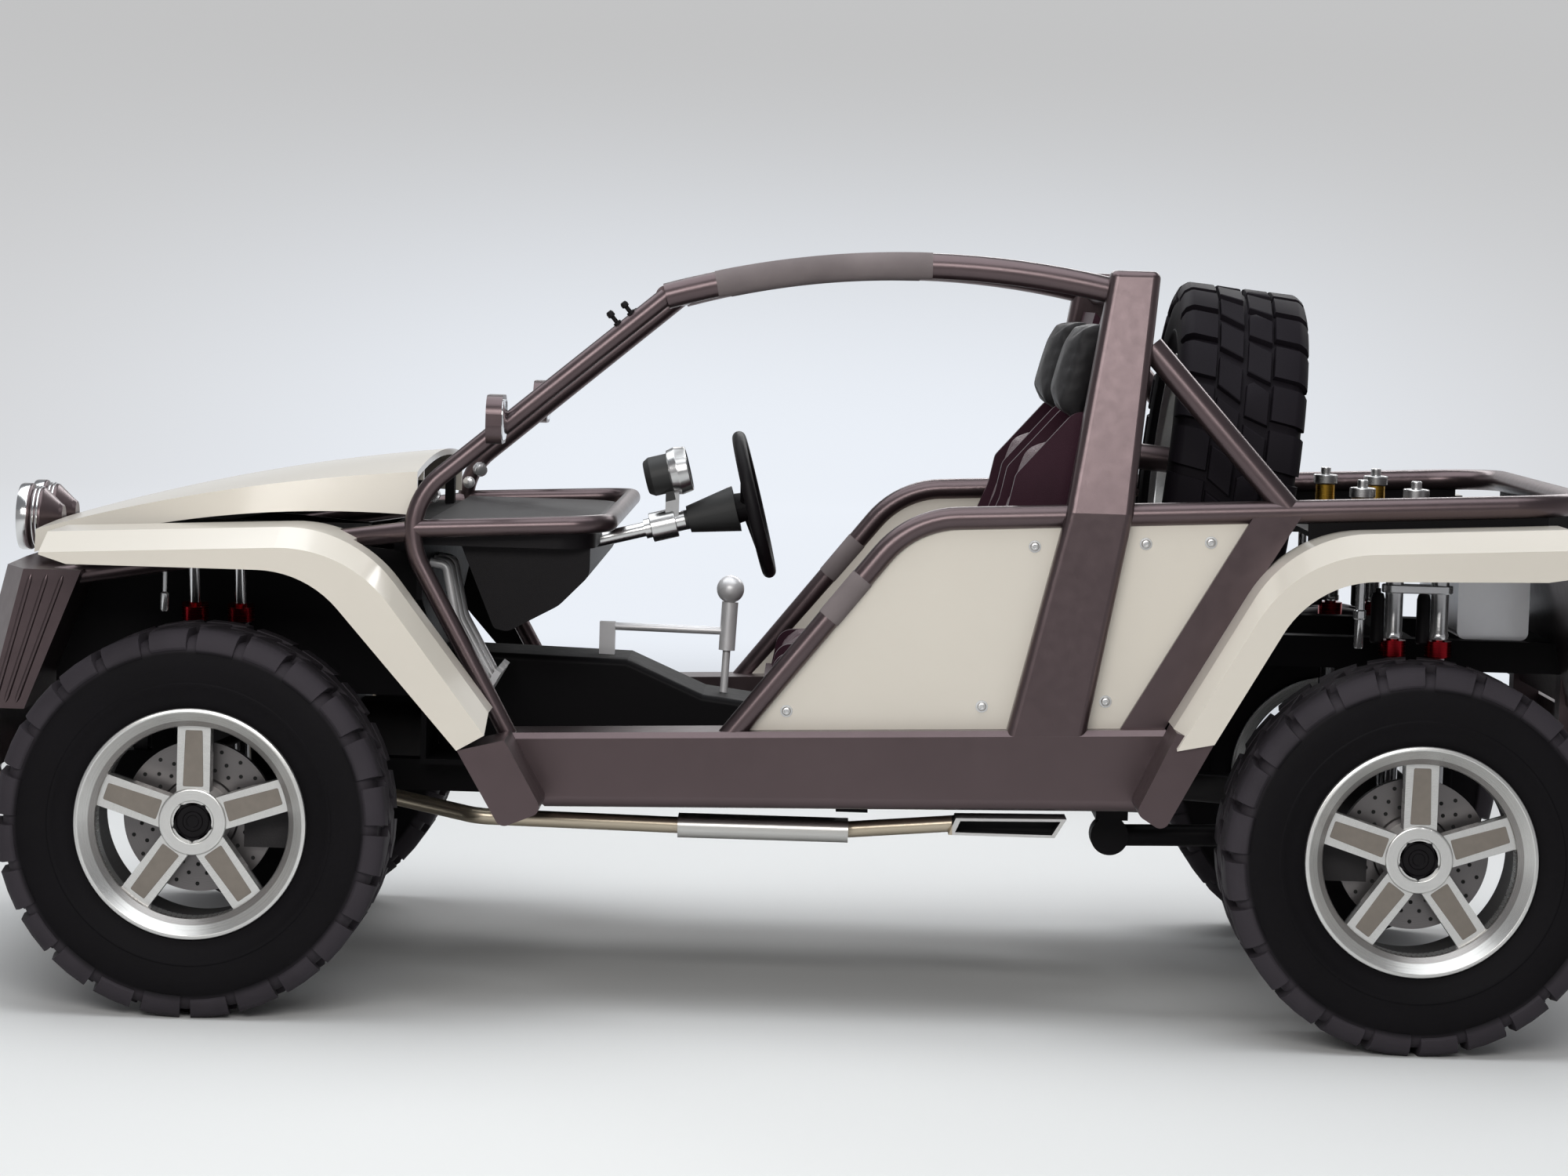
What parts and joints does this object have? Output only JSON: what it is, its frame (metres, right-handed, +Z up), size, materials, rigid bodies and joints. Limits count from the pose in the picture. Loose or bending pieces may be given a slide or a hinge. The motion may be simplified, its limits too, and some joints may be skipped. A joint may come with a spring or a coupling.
{
  "type": "open two-seat off-road concept car",
  "caption": "Open two-seat off-road concept car with a tube frame, cream panels, exposed lamps, spare wheel behind the seats, steering and an opening hood.",
  "frame": {"origin": "on the ground under the middle of the car", "axes": "+X forward, +Y to the car's left, +Z up"},
  "size_m": [3.68, 1.83, 1.6654],
  "materials": {
    "tyre": "matte black rubber",
    "machined_alloy": "machined, bright lip",
    "plain_alloy": "satin",
    "brake_steel": "ground",
    "cast_metal": "cast, dark",
    "black_paint": "satin black",
    "frame_paint": "dark taupe metallic, satin",
    "body_paint": "cream, satin",
    "black_plastic": "moulded, matte",
    "lamp_shell": "dark metallic with bright bezel",
    "lamp_glass": "clear lens",
    "damper_steel": "polished",
    "exhaust_steel": "brushed, heat tinted",
    "seat_shell": "moulded shell",
    "seat_cover": "burgundy hide, stitched"
  },
  "bodies": {
    "chassis": {"bulkhead": "black_paint", "chassis_rails": "black_paint", "controls": "plain_alloy", "cowl": "black_paint", "dampers": "damper_steel", "dash_hoop": "frame_paint", "dash_tub": "black_plastic", "driveline": "cast_metal", "engine": "plain_alloy", "exhaust": "exhaust_steel", "firewall": "black_paint", "flare_tips": "frame_paint", "floor_pan": "black_paint", "front_arms": "black_paint", "front_bumper": "frame_paint", "front_fenders": "body_paint", "front_rails": "frame_paint", "fuel_tank": "plain_alloy", "grille": "black_plastic", "head_lamps": "lamp_shell", "inner_wings": "black_paint", "lamp_lenses": "lamp_glass", "main_hoop": "frame_paint", "mirrors": "frame_paint", "nose_panel": "frame_paint", "pillar_frame": "frame_paint", "rear_axle": "cast_metal", "rear_braces": "frame_paint", "rear_bumper": "frame_paint", "rear_deck": "black_paint", "rear_fenders": "body_paint", "rear_links": "black_paint", "reservoirs": "plain_alloy", "roof_rails": "frame_paint", "seat_pads": "seat_cover", "seat_shells": "seat_shell", "side_panels": "body_paint", "side_rails": "frame_paint", "sills": "frame_paint", "spare_carrier": "frame_paint", "spare_rim": "machined_alloy", "spare_tyre": "tyre", "steering_column": "black_plastic", "tail_panel": "frame_paint"},
    "wheel_front_left": {"tyre_front_left": "tyre", "rim_front_left": "machined_alloy", "disc_front_left": "brake_steel"},
    "wheel_front_right": {"tyre_front_right": "tyre", "rim_front_right": "machined_alloy", "disc_front_right": "brake_steel"},
    "wheel_rear_left": {"tyre_rear_left": "tyre", "rim_rear_left": "machined_alloy", "disc_rear_left": "brake_steel"},
    "wheel_rear_right": {"tyre_rear_right": "tyre", "rim_rear_right": "machined_alloy", "disc_rear_right": "brake_steel"},
    "knuckle_left_body": {"knuckle_left": "cast_metal"},
    "knuckle_right_body": {"knuckle_right": "cast_metal"},
    "steering_wheel_body": {"steering_wheel": "black_plastic"},
    "hood_body": {"hood": "body_paint"}
  },
  "joints": [
    {"name": "steer_left", "type": "hinge", "parent": "chassis", "child": "knuckle_left_body", "pos_m": [1.28, 0.712, 0.414], "axis": [0, 0, 1], "range_deg": [-30, 30]},
    {"name": "steer_right", "type": "hinge", "parent": "chassis", "child": "knuckle_right_body", "pos_m": [1.28, -0.712, 0.414], "axis": [0, 0, 1], "range_deg": [-30, 30]},
    {"name": "steering_wheel_turn", "type": "hinge", "parent": "chassis", "child": "steering_wheel_body", "pos_m": [0.117, 0.33, 1.096], "axis": [-0.9681, 0, 0.2504], "range_deg": [-450, 450]},
    {"name": "hood_hinge", "type": "hinge", "parent": "chassis", "child": "hood_body", "pos_m": [0.862, 0, 1.12], "axis": [0, -1, 0], "range_deg": [0, 50]},
    {"name": "roll_front_left", "type": "hinge", "parent": "knuckle_left_body", "child": "wheel_front_left", "pos_m": [1.28, 0.77, 0.414], "axis": [0, 1, 0], "continuous": true},
    {"name": "roll_front_right", "type": "hinge", "parent": "knuckle_right_body", "child": "wheel_front_right", "pos_m": [1.28, -0.77, 0.414], "axis": [0, 1, 0], "continuous": true},
    {"name": "roll_rear_left", "type": "hinge", "parent": "chassis", "child": "wheel_rear_left", "pos_m": [-1.32, 0.77, 0.414], "axis": [0, 1, 0], "continuous": true},
    {"name": "roll_rear_right", "type": "hinge", "parent": "chassis", "child": "wheel_rear_right", "pos_m": [-1.32, -0.77, 0.414], "axis": [0, 1, 0], "continuous": true}
  ],
  "couplings": [
    {"joint": "steer_right", "follows": "steer_left", "ratio": 1},
    {"joint": "steering_wheel_turn", "follows": "steer_left", "ratio": 15}
  ]
}
